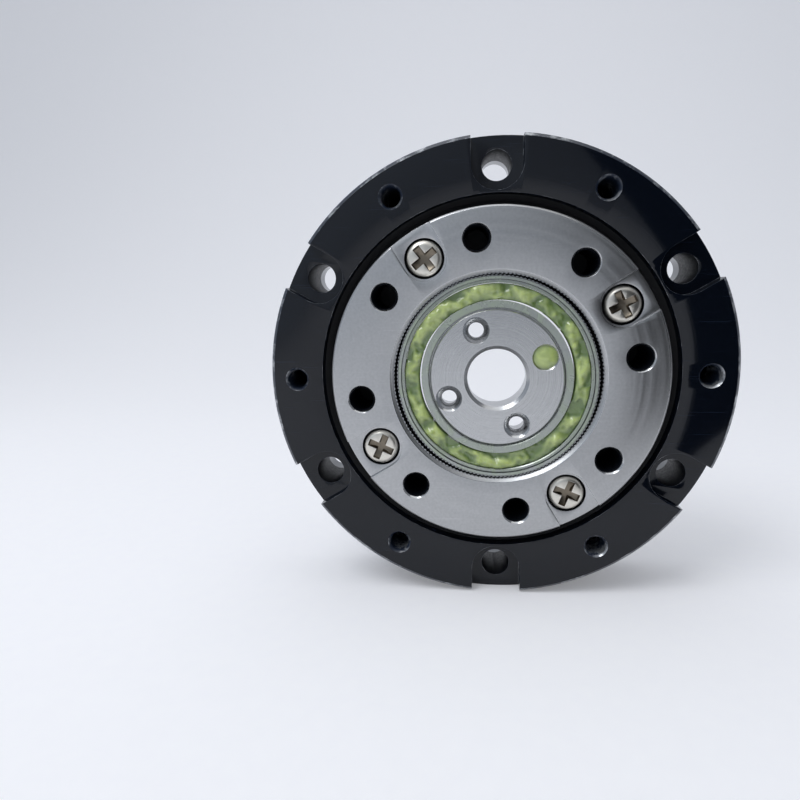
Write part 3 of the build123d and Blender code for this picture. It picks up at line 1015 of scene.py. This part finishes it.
class OBJECT_OT_gear_plug(bpy.types.Operator):
    """Builds the oval cam plug with its bore and four tapped holes"""

    bl_idname = "object.gear_plug"
    bl_label = "Cam plug"

    def execute(self, context):
        sizes = context.scene.gear_sizes
        chamfer, edge = 0.25 * MM, 0.12 * MM
        land, relief = 1.4 * MM, 0.25 * MM
        rim, rim_depth, groove = PLUG_RADIUS - 0.06 * MM, 0.5 * MM, 0.3 * MM
        stiff_radius = 4.5 * MM

        def bend(radius, depth, angle):
            return oval(radius, angle) if radius > stiff_radius else radius

        plug = piece("cam_plug", turned([
            (INPUT_BORE + chamfer, PLUG_FRONT),
            (rim - edge, PLUG_FRONT),
            (rim, PLUG_FRONT + edge),
            (rim, PLUG_FRONT + rim_depth),
            (PLUG_RADIUS, PLUG_FRONT + rim_depth),
            (PLUG_RADIUS, BEARING_REAR),
            (PLUG_RADIUS - groove, BEARING_REAR),
            (PLUG_RADIUS - groove, BEARING_REAR + groove),
            (PLUG_RADIUS, BEARING_REAR + groove),
            (PLUG_RADIUS, PLUG_REAR - edge),
            (PLUG_RADIUS - edge, PLUG_REAR),
            (INPUT_BORE + relief, PLUG_REAR),
            (INPUT_BORE + relief, PLUG_FRONT + land),
            (INPUT_BORE, PLUG_FRONT + land),
            (INPUT_BORE, PLUG_FRONT + chamfer),
        ], sizes.facets, bend), plug_steel(), cut_steel())
        holes = [polar(INPUT_CIRCLE, angle) for angle in circle_angles(INPUT_COUNT, CAM_ROLL)]
        cut(plug, *(drill(INPUT_HOLE + relief, place, PLUG_FRONT + land, PLUG_REAR + SPARE, wall=1)
                    for place in holes))
        cut(plug, *(tap(INPUT_HOLE, place, PLUG_FRONT, PLUG_REAR, 0.35 * MM, sizes, wall=1)
                    for place in holes))
        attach(plug, "wave_generator")
        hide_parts("wave_generator_plug")
        return {"FINISHED"}


class OBJECT_OT_gear_bearing(bpy.types.Operator):
    """Builds the flexible bearing's races, balls and crown cage"""

    bl_idname = "object.gear_bearing"
    bl_label = "Flexible bearing"

    def race(self, name, inner, outer, facets, body, node_name):
        """One oval race with rounded corners."""
        edge, slight = 0.06 * MM, 0.02 * MM
        made = piece(name, turned([
            (inner, BEARING_FRONT + edge), (inner + edge, BEARING_FRONT),
            (outer - slight, BEARING_FRONT), (outer, BEARING_FRONT + slight),
            (outer, BEARING_REAR), (inner, BEARING_REAR),
        ], facets, lambda radius, depth, angle: oval(radius, angle)), greased_steel())
        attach(made, body)
        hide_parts(node_name)

    def execute(self, context):
        sizes = context.scene.gear_sizes
        self.race("inner_race", PLUG_RADIUS + 0.02 * MM, INNER_RACE_RADIUS, sizes.facets,
                  "wave_generator", "flexible_inner_race")
        self.race("outer_race", BALL_PATH_RADIUS, OUTER_RACE_RADIUS, sizes.facets,
                  "housing", "flexible_outer_race")
        ball_depth = (BEARING_FRONT + BEARING_REAR) / 2
        wall, room = 0.36 * MM, BALL_RADIUS + 0.05 * MM
        cage = piece("crown_cage", turned([
            (BALL_CIRCLE - wall, CAGE_FRONT), (BALL_CIRCLE + wall, CAGE_FRONT),
            (BALL_CIRCLE + wall, CAGE_REAR), (BALL_CIRCLE - wall, CAGE_REAR),
        ], sizes.facets), nylon())
        pockets = []
        for angle in circle_angles(BALL_COUNT, 0):
            along, across = directions(angle)
            corners = [along * (BALL_CIRCLE + reach * 2 * wall) + across * (side * room)
                       for reach, side in ((-1, -1), (-1, 1), (1, 1), (1, -1))]
            pockets.append(prism([(at.x, at.z) for at in corners], CAGE_FRONT - SPARE,
                                 ball_depth + room))
        cut(cage, *pockets)
        round_edges(cage, 0.05 * MM)
        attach(cage, "ball_set")
        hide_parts("ball_cage")
        mesh = bmesh.new()
        bmesh.ops.create_uvsphere(mesh, u_segments=24, v_segments=16, radius=BALL_RADIUS)
        first = piece("bearing_ball_1", mesh, race_steel())
        for number, angle in enumerate(circle_angles(BALL_COUNT, 0), 1):
            made = first if number == 1 else placed(f"bearing_ball_{number}", first.data)
            made.location = polar(BALL_CIRCLE, angle, ball_depth)
            bpy.context.view_layer.update()
            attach(made, "ball_set")
            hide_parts(f"ball_{number:02d}")
        return {"FINISHED"}


def grease_depth(at, share, height):
    """Depth of the lumpy grease at a point; share is how far out it is between the races."""
    lump = noise.noise(Vector((at.x * 900, at.z * 900, 0.5)))
    small = noise.noise(Vector((at.x * 2600, at.z * 2600, 4.5)))
    swell = max(0.0, 0.62 + 1.5 * lump + 0.5 * small)
    rim = math.sin(math.pi * (0.04 + 0.92 * share)) ** 0.5
    return GREASE_LEVEL - rim * height * swell


class OBJECT_OT_gear_grease(bpy.types.Operator):
    """Fills the flexible bearing and one of the cam plug's holes with grease"""

    bl_idname = "object.gear_grease"
    bl_label = "Grease"

    def execute(self, context):
        sizes = context.scene.gear_sizes
        segments, rows = 480, 14
        inner = INNER_RACE_RADIUS + DEFLECTION + 0.01 * MM
        outer = BALL_PATH_RADIUS - 0.03 * MM
        mesh = bmesh.new()
        rings = []
        for step in range(segments):
            angle = 360 * step / segments
            width = oval(outer, angle) - inner
            ring = []
            for row in range(rows + 1):
                share = row / rows
                at = polar(inner + share * width, angle)
                front = grease_depth(at, share, sizes.grease_lump)
                ring.append(mesh.verts.new((at.x, front, at.z)))
            for share in (1, 0.5, 0):
                ring.append(mesh.verts.new(polar(inner + share * width, angle, GREASE_REAR)))
            rings.append(ring)
        bridge(mesh, rings + rings[:1])
        bmesh.ops.recalc_face_normals(mesh, faces=mesh.faces)
        fill = piece("bearing_grease", mesh, grease(), smooth=80)
        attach(fill, "housing")
        outline = [(radius * MM, PLUG_FRONT + depth * MM) for radius, depth in (
            (0, -0.04), (0.4, -0.02), (0.7, 0.05), (0.9, 0.12), (0.6, 0.5), (0.56, 2), (0, 2),
        )]
        place = polar(INPUT_CIRCLE, CAM_ROLL - 90)
        dab = piece("hole_grease", moved(turned(outline, 48), place), grease())
        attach(dab, "wave_generator")
        return {"FINISHED"}


class OBJECT_OT_gear_hidden(bpy.types.Operator):
    """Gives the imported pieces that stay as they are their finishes"""

    bl_idname = "object.gear_hidden"
    bl_label = "Rollers, clamp ring and snap ring"

    def execute(self, context):
        # The inner race ring, seen only through the holes, gets the near-black finish of the hole
        # walls: blackened steel with painted shade.
        finishes = {
            "inner_race_ring": dark_bore(), "crossed_rollers_a": race_steel(),
            "crossed_rollers_b": race_steel(), "roller_spacers": nylon(),
            "snap_ring": spring_steel(),
        }
        for name, finish in finishes.items():
            for slot in frame["nodes"][name].material_slots:
                slot.material = finish
        return {"FINISHED"}


class OBJECT_OT_gear_stage(bpy.types.Operator):
    """Builds the floor, backdrop, lights and camera"""

    bl_idname = "object.gear_stage"
    bl_label = "Studio"

    def sweep(self, floor_height):
        """A floor that curves up into a backdrop."""
        bend, back, wide, high, near, steps = 0.34, 0.08, 0.9, 0.6, 0.5, 16
        profile = [(-near, floor_height), (back, floor_height)]
        for step in range(1, steps + 1):
            turn = math.radians(90 * step / steps)
            profile.append((back + bend * math.sin(turn),
                            floor_height + bend * (1 - math.cos(turn))))
        profile.append((back + bend, floor_height + high))
        mesh = bmesh.new()
        left, right = ([mesh.verts.new((x, y, z)) for y, z in profile] for x in (-wide, wide))
        for index in range(len(profile) - 1):
            mesh.faces.new((left[index], right[index], right[index + 1], left[index + 1]))
        piece("studio_sweep", mesh, studio_paper())

    def lamp(self, name, place, aim, width, power, colour=(1, 1, 1)):
        """A square area light that shines from place towards aim."""
        light = bpy.data.lights.new(name, "AREA")
        light.size = width
        light.energy = power
        light.color = colour
        made = placed(name, light)
        made.location = place
        made.rotation_euler = (Vector(aim) - made.location).to_track_quat("-Z", "Y").to_euler()

    def flag(self, floor_height):
        """A black cloth on the right of the camera, which only reflections show."""
        left, right, high = (0.018, -0.045), (0.15, -0.03), 0.06
        mesh = bmesh.new()
        mesh.faces.new([mesh.verts.new((x, y, floor_height + z)) for (x, y), z in (
            (left, 0), (right, 0), (right, high), (left, high))])
        cloth = piece("black_flag", mesh, black_cloth())
        for ray in ("camera", "diffuse", "transmission"):
            setattr(cloth, f"visible_{ray}", False)

    def world(self):
        """A pale room, darker on the right of the camera, where the metal mirrors it."""
        world = bpy.data.worlds.new("pale_room")
        bpy.context.scene.world = world
        world.use_nodes = True
        tree = world.node_tree
        direction = node(tree, "ShaderNodeTexCoord")["Generated"]
        across = node(tree, "ShaderNodeSeparateXYZ", {"Vector": direction})["X"]
        side = node(tree, "ShaderNodeMapRange", {
            "Value": across, "From Min": -0.35, "From Max": 0.45,
        }, interpolation_type="SMOOTHSTEP")["Result"]
        link(tree, tree.nodes["Background"], {
            "Color": mixed(tree, side, (0.80, 0.88, 1.0, 1), (0.40, 0.42, 0.46, 1)),
            "Strength": WORLD_STRENGTH,
        })

    def execute(self, context):
        scene = context.scene
        floor_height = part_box("outer_ring")[0][2]
        self.sweep(floor_height)
        self.flag(floor_height)
        self.world()
        self.lamp("window", (-0.10, -0.10, 0.20), (0, 0, 0), width=0.12, power=0.22,
                  colour=(0.97, 0.98, 1.0))
        self.lamp("fill", (0.10, -0.20, 0.24), (0, 0, 0), width=0.16, power=0.03)
        self.lamp("backdrop_light", (0, 0.05, 0.30), (0, 0.20, 0), width=0.3, power=0.25)
        camera = bpy.data.cameras.new("photo_camera")
        camera.lens = scene.gear_sizes.lens
        camera.sensor_width = 36
        camera.clip_start = MM
        holder = placed("photo_camera", camera)
        holder.location = CAMERA_PLACE
        holder.rotation_euler = Euler(map(math.radians, CAMERA_ANGLES))
        scene.camera = holder
        scene.view_settings.view_transform = "Standard"
        return {"FINISHED"}


STEPS = (
    OBJECT_OT_gear_stage, OBJECT_OT_gear_housing, OBJECT_OT_gear_output, OBJECT_OT_gear_screws,
    OBJECT_OT_gear_flexspline, OBJECT_OT_gear_plug, OBJECT_OT_gear_bearing,
    OBJECT_OT_gear_grease, OBJECT_OT_gear_hidden,
)


class VIEW3D_PT_gear(bpy.types.Panel):
    bl_label = "Gear reducer"
    bl_idname = "VIEW3D_PT_gear"
    bl_space_type = "VIEW_3D"
    bl_region_type = "UI"
    bl_category = "Gear reducer"

    def draw(self, context):
        layout = self.layout
        for group in (context.scene.gear_sizes, context.scene.gear_colours):
            for name in group.bl_rna.properties.keys():
                if name not in ("rna_type", "name"):
                    layout.prop(group, name)
        for step in STEPS:
            layout.operator(step.bl_idname)


CLASSES = (GearSizes, GearColours, *STEPS, VIEW3D_PT_gear)


def register():
    for part in CLASSES:
        bpy.utils.register_class(part)
    bpy.types.Scene.gear_sizes = bpy.props.PointerProperty(type=GearSizes)
    bpy.types.Scene.gear_colours = bpy.props.PointerProperty(type=GearColours)


def unregister():
    del bpy.types.Scene.gear_colours
    del bpy.types.Scene.gear_sizes
    for part in reversed(CLASSES):
        bpy.utils.unregister_class(part)


def main():
    register()
    bpy.ops.object.gear_stage()
    bpy.ops.object.gear_housing()
    bpy.ops.object.gear_output()
    bpy.ops.object.gear_screws()
    bpy.ops.object.gear_flexspline()
    bpy.ops.object.gear_plug()
    bpy.ops.object.gear_bearing()
    bpy.ops.object.gear_grease()
    bpy.ops.object.gear_hidden()


if __name__ == "__main__":
    main()
